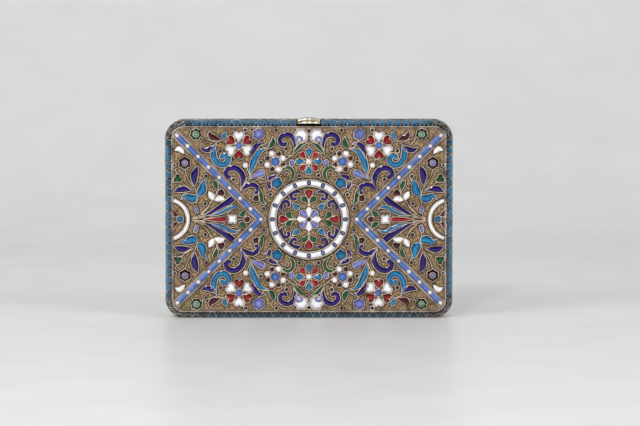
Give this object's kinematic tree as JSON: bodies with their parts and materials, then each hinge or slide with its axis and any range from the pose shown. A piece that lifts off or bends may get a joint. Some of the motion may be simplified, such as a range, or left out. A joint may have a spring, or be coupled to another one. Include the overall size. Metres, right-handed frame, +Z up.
{
  "type": "cigarette case",
  "caption": "Flat hinged metal cigarette case with rounded edges, a lid with a thumb-piece, and cloisonne enamel flowers and scrolls on its faces.",
  "frame": {"origin": "middle of the underside, on the joint between the two halves, with the case standing upright on its hinge edge", "axes": "+X along the case, +Z up to the thumb-piece, and the lid with the main enamel face looks along -Y"},
  "size_m": [0.11, 0.0186, 0.0771],
  "materials": {
    "back_gilt": "aged silver gilt with glossy coloured enamel cells",
    "lid_gilt": "aged silver gilt with glossy coloured enamel cells",
    "pin_gilt": "plain worn silver gilt",
    "thumb_gilt": "plain silver gilt, rubbed pale by handling"
  },
  "bodies": {
    "back": {"back_half": "back_gilt", "hinge_pin": "pin_gilt"},
    "lid": {"lid": "lid_gilt"},
    "thumb_piece": {"thumb_piece": "thumb_gilt"}
  },
  "joints": [
    {"name": "lid_hinge", "type": "hinge", "parent": "back", "child": "lid", "pos_m": [0, 0, 0.0013], "axis": [1, 0, 0], "range_deg": [0, 120]},
    {"name": "thumb_press", "type": "slide", "parent": "lid", "child": "thumb_piece", "axis": [0, 0, -1], "range_m": [0, 0.0006], "stiffness_N_per_m": 300, "springref_m": -0.0005}
  ]
}
